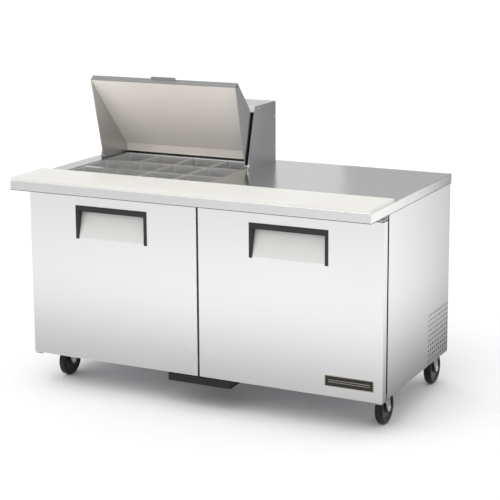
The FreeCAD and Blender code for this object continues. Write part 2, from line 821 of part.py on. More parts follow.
def make_door_skin(name, x0, x1, middle, pin):
    body = new_body(name + "_skin")
    low, high = dim["door_bottom"], dim["door_top"]
    slab = pad_box(body, x0, x1, door_front, door_back, low, high)
    outer_front = door_front.value + 1e-3
    round_edges(body, slab, 2, either(upright, lambda edge: edge.YMax < outer_front))
    hollow = new_sketch(body, "XZ", door_front + gauge)
    add_rectangle(hollow, x0 + gauge, low + gauge, x1 - gauge, high - gauge)
    add_feature(body, "Pocket", hollow)
    left, right, sill, lintel = handle_box(middle, 0)
    window = new_sketch(body, "XZ", door_front - 1)
    add_rectangle(window, left + 2, sill + 5, right - 2, lintel - 2)
    add_feature(body, "Pocket", window, 5)
    scoop = new_sketch(body, "YZ", left + dim["handle_side"])
    depth = door_front + dim["recess_depth"]
    ceiling = lintel - dim["handle_bar"]
    add_polygon(scoop, [(door_front, sill + 5), (door_front + gauge, sill + 4.5),
                        (depth + gauge, ceiling - 1), (depth + gauge, ceiling), (depth, ceiling)])
    add_feature(body, "Pad", scoop, dim["handle_width"] - 2 * dim["handle_side"])
    pin_holes(body, pin)


def make_door_liner(name, x0, x1, middle, pin):
    """Foam-filled inner pan of the door."""
    body = new_body(name + "_liner")
    pad_box(body, x0 + gauge, x1 - gauge, door_front + gauge, door_back, dim["door_bottom"] + gauge,
            dim["door_top"] - gauge)
    left, right, sill, lintel = handle_box(middle, 1)
    pocket_box(body, left, right, door_front - 1, door_front + 35, sill, lintel)
    pin_holes(body, pin)


def make_gasket(name, x0, x1):
    """Soft magnetic seal on the back of the door."""
    inset, width = 20, 18
    low, high = dim["door_bottom"] + inset, dim["door_top"] - inset
    near, far = door_back, cabinet_front - 1
    finish(name + "_gasket", without(
        box(x0 + inset, x1 - inset, near, far, low + 6, high),
        box(x0 + inset + width, x1 - inset - width, near - 1, far + 1, low + 6 + width, high - width)))


def make_handle(name, middle):
    """Moulded frame on three sides of the finger recess, standing proud of the door."""
    body = new_body(name + "_handle")
    left, right, sill, lintel = handle_box(middle, 0)
    bar, side = dim["handle_bar"], dim["handle_side"]
    add_bridge(body, left, right, sill, lintel, side, bar, door_front, 3.5)
    flange = body.Tip
    outer_face = door_front.value - 3.5
    round_edges(body, flange, 2, lambda edge: edge.YMax < outer_face + 1e-3)
    add_bridge(body, left + 2, right - 2, sill + 5, lintel - 2, side - 2, bar - 2, door_front + 32, 32)


def add_bridge(body, left, right, low, high, side, bar, rear, depth):
    """An upside-down U, its rear face at rear and its thickness towards the front."""
    sketch = new_sketch(body, "XZ", rear)
    add_polygon(sketch, [(left, low), (left + side, low), (left + side, high - bar),
                         (right - side, high - bar), (right - side, low), (right, low),
                         (right, high), (left, high)])
    return add_feature(body, "Pad", sketch, depth)


def make_badge():
    """Plain rating badge, low on the right door."""
    body = new_body("door_badge")
    sketch = new_sketch(body, "XZ", door_front)
    add_rectangle(sketch, *BADGE)
    plate = add_feature(body, "Pad", sketch, 2)
    round_edges(body, plate, 4, lambda edge: edge.YLength > 1)


# ---- cooling machinery ----

def make_compressor():
    """Welded dome on its feet."""
    body = new_body("compressor")
    sketch = new_sketch(body, "XZ", 0)
    add_polygon(sketch, [(0, 0), (82, 0), (82, 6), (DOME_RADIUS - 2, 6), (DOME_RADIUS, 60),
                         (DOME_RADIUS, 120), (66, 160), (40, 182), (0, 186)])
    shape = body.newObject("PartDesign::Revolution", "CompressorDome")
    shape.Profile = sketch
    shape.ReferenceAxis = (sketch, ["V_Axis"])
    for prop, value in (("x", COMPRESSOR_X), ("y", front + COMPRESSOR_Y), ("z", floor_sheet)):
        bind(body, "Placement.Base." + prop, value)


def make_condenser():
    """Finned block behind the side vent."""
    core = box(CONDENSER_X, CONDENSER_X + 50, front + 652, front + 842, floor_sheet, 358)
    slots = [box(CONDENSER_X + 6, CONDENSER_X + 60, front + y, front + y + 5, floor_sheet + 12, 350)
             for y in range(665, 835, 10)]
    finish("condenser_coil", without(core, *slots))


def make_condenser_shroud():
    """Fan shroud, with the motor held behind the fan on a post."""
    plate = without(box(CONDENSER_X - 36, CONDENSER_X, front + 652, front + 842, floor_sheet, 358),
                    box(CONDENSER_X - 32, CONDENSER_X + 1, front + 656, front + 838, floor_sheet + 4, 354),
                    rod(88, 10, CONDENSER_X - 38, front + FAN_Y, FAN_Z, "x"))
    motor = rod(30, 50, CONDENSER_X - 100, front + FAN_Y, FAN_Z, "x")
    shaft = rod(4, 30, CONDENSER_X - 50, front + FAN_Y, FAN_Z, "x")
    near, far, back = front + FAN_Y - 12, front + FAN_Y + 12, CONDENSER_X - 90
    post = box(back, CONDENSER_X - 70, near, far, floor_sheet, FAN_Z - 20)
    foot = box(back, CONDENSER_X - 20, near, far, floor_sheet, floor_sheet + 4)
    finish("condenser_shroud", joined(plate, motor, shaft, post, foot))


def make_fan(label, radius, blades, axis, x, y, z, thick):
    """Hub with a bore for the motor shaft, and flat blades."""
    body = new_body(label)
    sketch = new_sketch(body, axis, 0)
    add_circle(sketch, 0, 0, 16)
    add_feature(body, "Pad", sketch, thick)
    blade = new_sketch(body, axis, 0)
    add_polygon(blade, [(12, -8), (radius - 8, -24), (radius - 4, 14), (12, 8)])
    pad = add_feature(body, "Pad", blade, 3)
    doc.recompute()
    pattern = body.newObject("PartDesign::PolarPattern", label + "Blades")
    pattern.Originals = [pad]
    pattern.Axis = (blade, ["N_Axis"])
    pattern.Angle = 360
    pattern.Occurrences = blades
    body.Tip = pattern
    doc.recompute()
    bore = new_sketch(body, axis, 0)
    add_circle(bore, 0, 0, 4 + dim["running_gap"])
    add_feature(body, "Pocket", bore, thick + 1, reverse=True)
    for prop, value in (("x", x), ("y", y), ("z", z)):
        bind(body, "Placement.Base." + prop, value)


def make_evaporator():
    """Finned block high at the back of the cold space."""
    x0 = EVAPORATOR_X + 20
    rear = front + COLD_REAR - 2
    core = box(x0, x0 + EVAPORATOR_WIDTH - 40, front + 752, rear, EVAPORATOR_LOW + 12, 780)
    slots = [box(x, x + 6, front + 751, rear - 8, EVAPORATOR_LOW + 22, 770)
             for x in range(EVAPORATOR_X + 32, EVAPORATOR_X + EVAPORATOR_WIDTH - 34, 14)]
    motor = joined(rod(22, 26, EVAPORATOR_FAN_X, front + 726, EVAPORATOR_FAN_Z, "y"),
                   rod(4, 20, EVAPORATOR_FAN_X, front + 708, EVAPORATOR_FAN_Z, "y"))
    finish("evaporator_coil", joined(without(core, *slots), motor))


def make_evaporator_cover():
    """Sheet cover over the coil, with a round fan mouth, a row of slots and the knob's spindle."""
    x0, x1 = size(EVAPORATOR_X), size(EVAPORATOR_X + EVAPORATOR_WIDTH)
    near, rear = front + EVAPORATOR_FRONT, front + COLD_REAR - 2
    shell = without(box(x0, x1, near, rear, EVAPORATOR_LOW, 788),
                    box(x0 + 2, x1 - 2, near + 2, rear + 1, EVAPORATOR_LOW + 2, 786),
                    rod(74, 10, EVAPORATOR_FAN_X, near - 3, EVAPORATOR_FAN_Z, "y"),
                    *[box(x, x + 8, near - 1, near + 3, 640, 750) for x in range(350, 450, 20)])
    spindle = rod(3, 14, KNOB_X, near - 12, KNOB_Z, "y")
    finish("evaporator_cover", joined(shell, spindle))


def make_temperature_knob():
    """Round knob with a flat pointer grip and a blind bore."""
    near = front + EVAPORATOR_FRONT
    finish("temperature_knob", without(
        joined(rod(17, 6, KNOB_X, near - 7, KNOB_Z, "y"),
               box(KNOB_X - 3, KNOB_X + 3, near - 17, near - 6, KNOB_Z - 15, KNOB_Z + 15)),
        rod(3 + dim["running_gap"], 13, KNOB_X, near - 12.5, KNOB_Z, "y")))


def bent_tube(name, corners):
    """Tube in the plane of the compressor's middle, along straights that meet in round bends."""
    body = new_body(name, exported=False)
    depth = front + COMPRESSOR_Y
    path = new_sketch(body, "XZ", depth)
    points = [vector(*corner) for corner in corners]
    start = points[0]
    for before, corner, after in zip(points, points[1:], points[2:]):
        arriving, leaving = (corner - before).normalize(), (after - corner).normalize()
        bend_start, bend_end = corner - arriving * TUBE_BEND, corner + leaving * TUBE_BEND
        centre = bend_start + leaving * TUBE_BEND
        middle = centre + (corner - centre).normalize() * TUBE_BEND
        path.addGeometry(Part.LineSegment(start, bend_start), False)
        path.addGeometry(Part.Arc(bend_start, middle, bend_end), False)
        start = bend_end
    path.addGeometry(Part.LineSegment(start, points[-1]), False)
    first = corners[0]
    ring = new_sketch(body, "YZ", first[0])
    add_circle(ring, depth, first[1], TUBE_RADIUS)
    pipe = body.newObject("PartDesign::AdditivePipe", name + "Pipe")
    pipe.Profile = ring
    pipe.Spine = (path, [])
    return body


def make_refrigerant_lines():
    """Discharge line to the condenser, and suction line up to the foam above the machine space."""
    level = floor_sheet + 90
    discharge = bent_tube("discharge_line", [
        (size(COMPRESSOR_X + DOME_RADIUS), level), (size(540), level), (size(540), size(354)),
        (size(CONDENSER_X - 36), size(354))])
    suction = bent_tube("suction_line", [
        (size(COMPRESSOR_X - DOME_RADIUS), level), (size(270), level), (size(270), size(MACHINE_TOP))])
    finish("refrigerant_lines", grouped(discharge, suction))


# ---- castors ----

def castor_places():
    outer = half_width - dim["castor_inset"]
    near, far = front + dim["castor_front"], front + dim["castor_rear"]
    return [("front_left", -outer, near), ("front_right", outer, near),
            ("rear_left", -outer, far), ("rear_right", outer, far)]


def make_castor_plates():
    """Mounting plates, each with its bearing housing, kingpin and pin head."""
    plates = []
    plate_top = dim["castor_height"]
    for name, x, y in castor_places():
        plates.append(joined(
            box(x - 47, x + 47, y - 50, y + 50, plate_top - 4, plate_top),
            rod(23, plate_top - CROWN_TOP - 0.3, x, y, size(CROWN_TOP) + 0.3),
            rod(KINGPIN, plate_top - 140, x, y, 140),
            rod(10, 3, x, y, CROWN_LOW - 3.3)))
    finish("castor_plates", grouped(*plates))


def make_fork(name, x, y, braked):
    """Pressed fork: crown plate and two raked legs, with the wheel's axle between them."""
    trail, axle = dim["castor_trail"], dim["wheel_radius"]
    outline = [(y - 24, CROWN_TOP), (y - 24, CROWN_LOW - 6), (y + trail - 16, axle - 2),
               (y + trail - 8, axle - 13), (y + trail + 8, axle - 13), (y + trail + 14, axle),
               (y + trail + 4, axle + 36)]
    if braked:
        outline += [(y + PEDAL_PIN_Y + 7, PEDAL_PIN_Z - 5), (y + PEDAL_PIN_Y + 7, PEDAL_PIN_Z + 3),
                    (y + PEDAL_PIN_Y, PEDAL_PIN_Z + 5), (y + PEDAL_PIN_Y - 14, PEDAL_PIN_Z + 5)]
    outline += [(y + 28, CROWN_LOW - 8), (y + 28, CROWN_TOP)]
    body = new_body("castor_fork_" + name)
    sketch = new_sketch(body, "YZ", x - LEG_INSIDE - LEG_THICK)
    add_polygon(sketch, outline)
    add_feature(body, "Pad", sketch, 2 * (LEG_INSIDE + LEG_THICK))
    gap = new_sketch(body, "YZ", x + LEG_INSIDE)
    add_rectangle(gap, y - 60, 0, y + 120, CROWN_LOW)
    add_feature(body, "Pocket", gap, 2 * LEG_INSIDE)
    crown = new_sketch(body, "XY", CROWN_LOW)
    add_circle(crown, x, y, 32)
    add_feature(body, "Pad", crown, CROWN_TOP - CROWN_LOW)
    hole = new_sketch(body, "XY", CROWN_TOP + 1)
    add_circle(hole, x, y, KINGPIN + dim["running_gap"])
    add_feature(body, "Pocket", hole, CROWN_TOP - CROWN_LOW + 2)
    pin = new_sketch(body, "YZ", x - LEG_INSIDE - LEG_THICK - 4)
    add_circle(pin, y + trail, axle, 6)
    add_feature(body, "Pad", pin, 2 * (LEG_INSIDE + LEG_THICK + 4))
    if braked:
        pedal_pin = new_sketch(body, "YZ", x - LEG_INSIDE)
        add_circle(pedal_pin, y + PEDAL_PIN_Y, PEDAL_PIN_Z, PEDAL_PIN)
        add_feature(body, "Pad", pedal_pin, 2 * LEG_INSIDE)


def make_wheel(name, x, y):
    """Crowned rubber tread on a dished hub, turned about its axle."""
    body = new_body("castor_wheel_" + name)
    radius, half = dim["wheel_radius"], dim["wheel_width"] / 2
    sketch = new_sketch(body, "XY", 0)
    bore = 6 + dim["running_gap"]
    add_polygon(sketch, [(-half - 2, bore), (half + 2, bore), (half + 2, 17), (half - 5, 20),
                         (half - 5, 43), (half - 1, 46), (half, radius - 6), (half - 5, radius),
                         (5 - half, radius), (-half, radius - 6), (1 - half, 46), (5 - half, 43),
                         (5 - half, 20), (-half - 2, 17)])
    turned = body.newObject("PartDesign::Revolution", body.Name + "Turned")
    turned.Profile = sketch
    turned.ReferenceAxis = (sketch, ["H_Axis"])
    for prop, value in (("x", x), ("y", y + dim["castor_trail"]), ("z", radius)):
        bind(body, "Placement.Base." + prop, value)


def make_pedal(name, x, y):
    """Brake pedal that rides over the wheel, on its pin between the ends of the fork's legs."""
    body = new_body("brake_pedal_" + name)
    half = 17
    sketch = new_sketch(body, "YZ", x - half)
    add_polygon(sketch, [(y + 69, 121), (y + 69, 126.5), (y + 73, 128.5), (y + 104, 128.5),
                         (y + 117, 122.5), (y + 115, 118), (y + 102, 121), (y + 82, 119.5)])
    lever = add_feature(body, "Pad", sketch, 2 * half)
    round_edges(body, lever, 1.2, lambda edge: edge.XLength > half)
    bore = new_sketch(body, "YZ", x + half + 1)
    add_circle(bore, y + PEDAL_PIN_Y, PEDAL_PIN_Z, PEDAL_PIN + dim["running_gap"])
    add_feature(body, "Pocket", bore)


# ---- build ----

def make_all():
    make_countertop()
    make_hood()
    make_hood_fasteners()
    make_pan_frame()
    make_divider_bars()
    make_side_panels()
    make_rear_panel()
    make_power_gland()
    make_base_frame()
    make_insulated_body()
    make_cabinet_liner()
    make_front_frame()
    make_wire_shelves()
    make_hinge_brackets()
    make_lower_front_cover()
    make_lid_skin()
    make_lid_liner()
    make_cutting_board()
    for row in range(PAN_ROWS):
        for column in range(PAN_COLUMNS):
            make_pan(row, column)
    make_door("left_door", -1)
    make_door("right_door", 1)
    make_badge()
    make_compressor()
    make_condenser()
    make_condenser_shroud()
    make_fan("condenser_fan", 86, 5, "YZ", CONDENSER_X - 34, front + FAN_Y, FAN_Z, 12)
    make_evaporator()
    make_evaporator_cover()
    make_fan("evaporator_fan", 72, 5, "XZ", EVAPORATOR_FAN_X, front + 722, EVAPORATOR_FAN_Z, 12)
    make_temperature_knob()
    make_refrigerant_lines()
    make_castor_plates()
    for name, x, y in castor_places():
        braked = name.startswith("front")
        make_fork(name, x, y, braked)
        make_wheel(name, x, y)
        if braked:
            make_pedal(name, x, y)


def check(items):
    for item in items:
        bad = [word for word in item.State if word in ("Invalid", "Error")]
        if bad:
            raise RuntimeError("%s (%s) did not build" % (item.Name, item.Label))
    for item in parts:
        if item.Shape.isNull() or not item.Shape.isValid() or item.Shape.Volume <= 0:
            raise RuntimeError("%s has no sound solid" % item.Label)


make_all()
doc.recompute()
check(doc.Objects)
os.makedirs("parts", exist_ok=True)
for item in parts:
    item.Shape.exportStep("parts/%s.step" % item.Label)
print("%d sub-parts written" % len(parts))
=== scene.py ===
import math

import bpy
from bpy.props import FloatProperty, FloatVectorProperty, PointerProperty
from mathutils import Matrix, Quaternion, Vector


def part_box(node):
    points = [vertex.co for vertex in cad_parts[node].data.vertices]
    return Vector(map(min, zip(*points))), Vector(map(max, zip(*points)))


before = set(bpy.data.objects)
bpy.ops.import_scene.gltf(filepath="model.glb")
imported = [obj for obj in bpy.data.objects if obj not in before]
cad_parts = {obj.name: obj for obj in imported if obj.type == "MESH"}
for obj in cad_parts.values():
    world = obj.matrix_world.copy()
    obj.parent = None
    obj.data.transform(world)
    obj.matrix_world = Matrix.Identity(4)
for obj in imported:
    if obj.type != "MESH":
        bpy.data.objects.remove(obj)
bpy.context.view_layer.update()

bl_info = {
    "name": "Sandwich prep table finishes",
    "version": (1, 0, 0),
    "blender": (4, 5, 0),
    "location": "View3D > Sidebar > Prep Table",
    "description": "Finishes and studio for a refrigerated sandwich prep table",
    "category": "Material",
}

MM = 0.001

PAN_ROWS = 3
PAN_COLUMNS = 4
CASTORS = ("front_left", "front_right", "rear_left", "rear_right")
DOORS = ("left_door", "right_door")

# Strips and edges of a piece that have a tone of their own: the counter's fascia is painted light;
# the fascia's lower edge, the lid's lip, the lid panel's rear edge, the gap beside each door and
# the machine space are painted shade; the wheel tread and the badge have their own colour.
TOP_SKIN = 0.6 * MM           # what lies lower on the counter sheet is its fascia
HEM_HEIGHT = 2.2 * MM         # shadow line along the fascia's lower edge
LID_LIP_HEIGHT = 26.5 * MM
LID_LIP_REAR = 0.0742         # y at which the lid's lip ends and its hinged sheet goes on
LID_PANEL_EDGE = 26 * MM
# width of the painted shade in the gap beside each door
GAP_SHADE_WIDTH = 3 * MM
TREAD_DEPTH = 17 * MM
MACHINE_SHADE_LEAD = 26 * MM  # the painted shade of the machine space starts this far in front of the condenser
BADGE_BORDER = 3.2 * MM
BADGE_RULE_INSET = 16 * MM
BADGE_RULE_NEAR = 3 * MM      # from the badge's middle line to a rule's near and far edge
BADGE_RULE_FAR = 4.6 * MM

# Cells per metre along x, y and z of a brushed sheet's grain, bands and clouding.
GRAIN = {"x": (7, 1500, 1500), "z": (1500, 1500, 7)}
BANDS = {"x": (2.5, 220, 220), "z": (220, 220, 2.5)}
CLOUDS = 3.2
TONE_SPREAD = 0.16
FIN_PHASE = 3200.0            # radians per metre across the cooling fins

# Studio, in metres.
FLOOR_REACH = 60.0
FLOOR_DROP = 0.0005
CARD_LIFT = 0.002
CARD_BEHIND = 2.2
CARD_IN_FRONT = -0.46
CAMERA_PLACE = (2.6579, -5.2054, 1.9511)
CAMERA_SHIFT = -0.12


# ---- shader building ----

class Socket:
    """A shader socket that takes part in Python arithmetic; each operation adds a Math node."""

    def __init__(self, shader, output):
        self.shader = shader
        self.output = output

    def _math(self, operation, first, second):
        return self.shader.node("ShaderNodeMath", {"operation": operation}, {0: first, 1: second})

    def __add__(self, other):
        return self._math("ADD", self, other)

    __radd__ = __add__

    def __mul__(self, other):
        return self._math("MULTIPLY", self, other)

    __rmul__ = __mul__

    def __sub__(self, other):
        return self._math("SUBTRACT", self, other)

    def __rsub__(self, other):
        return self._math("SUBTRACT", other, self)

    def __truediv__(self, other):
        return self._math("DIVIDE", self, other)

    def __pow__(self, other):
        return self._math("POWER", self, other)

    def __gt__(self, other):
        return self._math("GREATER_THAN", self, other)

    def __lt__(self, other):
        return self._math("LESS_THAN", self, other)

    def clamped(self):
        return self.shader.node("ShaderNodeClamp", {}, {"Value": self})


class Shader:
    """The node tree of one finish, worked in the row frame's own coordinates."""

    def __init__(self, name):
        self.material = bpy.data.materials.new(name)
        self.material.use_nodes = True
        self.tree = self.material.node_tree
        self.surface = self.tree.nodes["Principled BSDF"]

    def node(self, kind, settings=None, inputs=None, output=0):
        """Adds a node: its settings first, then the values or links of its sockets."""
        made = self.tree.nodes.new(kind)
        for name, value in (settings or {}).items():
            if name == "stops":
                set_stops(made.color_ramp, value)
            else:
                setattr(made, name, value)
        for name, value in (inputs or {}).items():
            self._feed(made.inputs[name], value)
        return Socket(self, made.outputs[output])

    def _feed(self, socket, value):
        if isinstance(value, Socket):
            self.tree.links.new(value.output, socket)
        else:
            socket.default_value = value

    def set(self, **values):
        """Feeds the surface's sockets: base_color goes to Base Color, and so on."""
        for name, value in values.items():
            socket = name.replace("_", " ").title().replace("Ior", "IOR")
            self._feed(self.surface.inputs[socket], value)
        return self

    def place(self):
        """Position on the piece at rest, in metres."""
        return self.node("ShaderNodeTexCoord", output="Object")

    def axes(self):
        split = self.node("ShaderNodeSeparateXYZ", {}, {0: self.place()})
        outputs = split.output.node.outputs
        return [Socket(self, outputs[axis]) for axis in "XYZ"]

    def stretched(self, per_metre):
        """The position multiplied by cells per metre along each axis."""
        return self.node("ShaderNodeVectorMath", {"operation": "MULTIPLY"},
                         {0: self.place(), 1: per_metre})

    def noise(self, per_metre, detail=2.0, rough=0.5):
        """Noise of so many cells per metre, the same or different along the three axes."""
        if isinstance(per_metre, (int, float)):
            per_metre = (per_metre,) * 3
        return self.node("ShaderNodeTexNoise", {},
                         {"Vector": self.stretched(per_metre), "Scale": 1.0, "Detail": detail,
                          "Roughness": rough})

    def grain(self, along):
        return self.noise(GRAIN[along], 3.0, 0.6)

    def bands(self, along):
        return self.noise(BANDS[along], 3.0, 0.5)

    def ramp(self, value, *stops):
        return self.node("ShaderNodeValToRGB", {"stops": stops}, {"Fac": value})

    def tint(self, factor, low, high):
        """A colour between two, by a factor from 0 to 1."""
        low, high = (end if isinstance(end, Socket) else (*end, 1.0) for end in (low, high))
        return self.node("ShaderNodeMix", {"data_type": "RGBA"},
                         {"Factor": factor, 6: low, 7: high}, output=2)

    def sheet_tone(self, shade, level):
        """Grey of a brushed sheet, from below its level to above it by a shade from 0 to 1."""
        return self.tint(shade, grey(level - TONE_SPREAD), grey(min(level + TONE_SPREAD, 1.0)))

    def bump(self, height, strength, distance):
        normal = self.node("ShaderNodeBump", {},
                           {"Height": height, "Strength": strength, "Distance": distance})
        return self.set(normal=normal)

    def brush_marks(self, fine, band):
        return self.bump(fine * 0.6 + band * 0.4, 0.12, 0.0002)


def set_stops(ramp, stops):
    """Sets a colour ramp to grey levels at places from 0 to 1."""
    while len(ramp.elements) < len(stops):
        ramp.elements.new(0.5)
    for element, (place, level) in zip(ramp.elements, stops):
        element.position = place
        element.color = (*grey(level), 1.0)


def grey(level):
    return level, level, level


def between(value, low, high):
    return (value > low) * (value < high)


def varied(base, *parts):
    """A base value with textures added round their middle, each given with its weight."""
    for texture, weight in parts:
        base = (texture - 0.5) * weight + base
    return base


# ---- finishes ----

def brushed(name, level, rough, along, contrast=0.06):
    """Brushed stainless: fine grain and broader bands along one axis, with faint clouding."""
    steel = Shader(name)
    fine, band, cloud = steel.grain(along), steel.bands(along), steel.noise(CLOUDS)
    shade = varied(0.5, (fine, contrast), (band, 0.8 * contrast), (cloud, 0.03)).clamped()
    steel.set(base_color=steel.sheet_tone(shade, level), metallic=1.0,
              roughness=varied(rough, (fine, 0.10), (band, 0.08), (cloud, 0.06)))
    return steel.brush_marks(fine, band).material


def counter_steel(name, level, fascia_lit_level, rough):
    """Counter sheet brushed from end to end; its fascia is painted paler than the top as painted
    light, and a painted shadow line runs along the fascia's lower edge.
    """
    steel = Shader(name)
    low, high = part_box("countertop")
    _, _, z = steel.axes()
    fine, band, cloud = steel.grain("x"), steel.bands("x"), steel.noise(CLOUDS)
    shade = varied(0.5, (fine, 0.05), (band, 0.04), (cloud, 0.03)).clamped()
    # Painted shadow: a near-black line along the fascia's lower edge, where the sheet turns under.
    hem_shadow = z < low.z + HEM_HEIGHT
    # The fascia below the top skin gets a paler grey of the same sheet: painted light on its
    # turned-down face.
    sheet = steel.tint(z > high.z - TOP_SKIN, steel.sheet_tone(shade, fascia_lit_level),
                       steel.sheet_tone(shade, level))
    steel.set(base_color=steel.tint(hem_shadow, sheet, grey(0.05)), metallic=1.0,
              roughness=varied(rough, (fine, 0.10), (cloud, 0.06)) + hem_shadow * 0.3)
    return steel.brush_marks(fine, band).material


def side_steel(name, node, level, rough):
    """End sheet brushed upright; the walls of its vent holes are painted near black as shade."""
    steel = Shader(name)
    low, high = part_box(node)
    x, _, _ = steel.axes()
    # Painted shade: the walls of the vent holes turn near black and lose their metal.
    hole_wall_shade = between(x, low.x + 0.1 * MM, high.x - 0.1 * MM)
    fine, band, cloud = steel.grain("z"), steel.bands("z"), steel.noise(CLOUDS)
    shade = varied(0.5, (fine, 0.06), (band, 0.03), (cloud, 0.03)).clamped()
    steel.set(base_color=steel.tint(hole_wall_shade, steel.sheet_tone(shade, level), grey(0.015)),
              metallic=1 - hole_wall_shade * 0.9,
              roughness=varied(rough, (fine, 0.10), (cloud, 0.06)) + hole_wall_shade * 0.4)
    return steel.brush_marks(fine, band).material


def lid_steel(name, level, rough):
    """Lid sheet brushed from side to side; its turned-over lip along the free edge is darkened as
    painted shade.
    """
    steel = Shader(name)
    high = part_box("lid_skin")[1]
    _, y, z = steel.axes()
    lip = (z > high.z - LID_LIP_HEIGHT) * (y < LID_LIP_REAR)
    fine, band = steel.grain("x"), steel.bands("x")
    shade = varied(0.5, (fine, 0.06), (band, 0.05)).clamped()
    # Painted shade: the lip gets a darker copy of the sheet's own grey.
    lip_shade = steel.tint(shade, grey(level * 0.40), grey(level * 0.52))
    steel.set(base_color=steel.tint(lip, steel.sheet_tone(shade, level), lip_shade), metallic=1.0,
              roughness=varied(rough, (fine, 0.10)))
    return steel.brush_marks(fine, band).material


def lid_inner_panel(name):
    """Pale satin inner panel; its edge that faces the hood when the lid is shut is painted dark as
    shade.
    """
    panel = Shader(name)
    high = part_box("lid_liner")[1]
    _, y, _ = panel.axes()
    # Painted shade: near black along the rear edge, where the gap to the hood lies.
    rear_edge_shade = y > high.y - LID_PANEL_EDGE
    fine, cloud = panel.grain("x"), panel.noise(CLOUDS)
    shade = varied(0.5, (fine, 0.04), (cloud, 0.08)).clamped()
    satin = panel.tint(shade, (0.95, 0.88, 0.81), (1.0, 0.97, 0.91))
    panel.set(base_color=panel.tint(rear_edge_shade, satin, grey(0.03)), metallic=0.05,
              roughness=varied(0.46, (fine, 0.10), (cloud, 0.06)))
    return panel.bump(fine, 0.12, 0.0002).material


def frame_enamel(name):
    """White enamel on the door frame, with a black line of painted shade down each outer edge, in
    the gap between door and side panel.
    """
    enamel = Shader(name)
    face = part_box("side_panel_right")[0].y
    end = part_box("right_door_gasket")[1].x
    x, y, _ = enamel.axes()
    # Painted shade: near black and matt where the gap between door and side panel lies.
    gap_shade = (y < face + GAP_SHADE_WIDTH) * ((x > end) + (x < -end)).clamped()
    cloud = enamel.noise(6.0)
    white = enamel.tint(cloud, (0.76, 0.77, 0.76), (0.86, 0.87, 0.86))
    enamel.set(base_color=enamel.tint(gap_shade, white, grey(0.008)),
               roughness=varied(0.35, (cloud, 0.08)) + gap_shade * 0.35)
    return enamel.bump(enamel.noise(160.0), 0.15, 0.0005).material


def door_steel(name, door, level, rough):
    """Door sheet brushed upright; the sloping finger recess behind the handle is satin grey."""
    steel = Shader(name)
    low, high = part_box(door + "_handle")
    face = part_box(door + "_skin")[0].y
    x, y, z = steel.axes()
    recess = (y > face + 0.6 * MM) * between(x, low.x, high.x) * between(z, low.z, high.z)
    fine, band, cloud = steel.grain("z"), steel.bands("z"), steel.noise(2.6)
    shade = varied(0.5, (fine, 0.07), (band, 0.05), (cloud, 0.03)).clamped()
    satin = steel.tint(steel.noise(900.0), (0.71, 0.705, 0.69), (0.79, 0.785, 0.77))
    steel.set(base_color=steel.tint(recess, steel.sheet_tone(shade, level), satin),
              metallic=1 - recess * 0.75,
              roughness=varied(rough, (fine, 0.10), (cloud, 0.06)) + recess * 0.12)
    return steel.bump((fine * 0.6 + band * 0.4) * (1 - recess), 0.12, 0.0002).material


def moulded(name, colour, rough, grain=700.0, depth=0.25):
    """Moulded plastic with a fine spark-eroded grain and slightly uneven gloss."""
    plastic = Shader(name)
    spark, cloud = plastic.noise(grain, 4.0, 0.6), plastic.noise(18.0)
    darker = tuple(channel * 0.82 for channel in colour)
    lighter = tuple(min(channel * 1.18, 1.0) for channel in colour)
    shade = varied(0.5, (spark, 0.8), (cloud, 0.5)).clamped()
    plastic.set(base_color=plastic.tint(shade, darker, lighter),
                roughness=varied(rough, (spark, 0.12), (cloud, 0.1)))
    return plastic.bump(spark, depth, 0.0003).material


def board_plastic(name):
    """White polyethylene with a pebbled face and faint knife marks in two directions."""
    board = Shader(name)
    pebble, cloud = board.noise(650.0, 3.0, 0.6), board.noise(5.0, 3.0)
    cuts = board.ramp(board.noise((14, 1100, 30), 1.0), (0.66, 0.0), (0.70, 1.0))
    slant = board.ramp(board.noise((800, 26, 30), 1.0), (0.69, 0.0), (0.73, 1.0))
    marks = (cuts + slant).clamped()
    shade = (varied(0.5, (cloud, 0.6)) - marks * 0.1).clamped()
    board.set(base_color=board.tint(shade, (0.70, 0.69, 0.65), (0.82, 0.81, 0.78)),
              roughness=varied(0.42, (pebble, 0.14)) + marks * 0.1, specular_ior_level=0.4,
              subsurface_weight=0.06, subsurface_radius=(0.004, 0.004, 0.003))
    return board.bump(pebble * 0.7 - marks * 0.5, 0.25, 0.0004).material


def painted(name, colour, rough, orange_peel=160.0):
    """Baked enamel on sheet, with a slight orange-peel texture."""
    paint = Shader(name)
    peel, cloud = paint.noise(orange_peel), paint.noise(6.0)
    darker = tuple(channel * 0.93 for channel in colour)
    lighter = tuple(min(channel * 1.05, 1.0) for channel in colour)
    paint.set(base_color=paint.tint(cloud, darker, lighter), coat_roughness=0.2, coat_weight=0.25,
              roughness=varied(rough, (cloud, 0.08), (peel, 0.06)))
    return paint.bump(peel, 0.15, 0.0005).material


def zinc(name, level=0.72, spangle=0.0):
    """Bright zinc plate, or galvanised sheet with its spangle."""
    plate = Shader(name)
    fine = plate.noise(420.0, 3.0, 0.6)
    flakes = plate.node("ShaderNodeTexVoronoi", {"feature": "F1"},
                        {"Vector": plate.stretched((90, 90, 90)), "Scale": 1.0}, output="Color")
    facet = plate.node("ShaderNodeSeparateColor", {}, {0: flakes})
    shade = varied(0.5, (fine, 0.35), (facet, spangle)).clamped()
    plate.set(base_color=plate.tint(shade, (level * 0.78, level * 0.79, level * 0.82),
                                    (level * 1.14, level * 1.15, level * 1.18)),
              metallic=1.0, roughness=varied(0.3, (fine, 0.16), (facet, spangle * 0.3)))
    return plate.bump(fine, 0.15, 0.0003).material


def rubber(name):
    """Soft black rubber with a fine bloom."""
    seal = Shader(name)
    bloom = seal.noise(60.0, 4.0, 0.65)
    seal.set(base_color=seal.tint(bloom, grey(0.0154), grey(0.0418)),
             roughness=varied(0.72, (bloom, 0.2)))
    return seal.bump(seal.noise(1400.0), 0.3, 0.0002).material


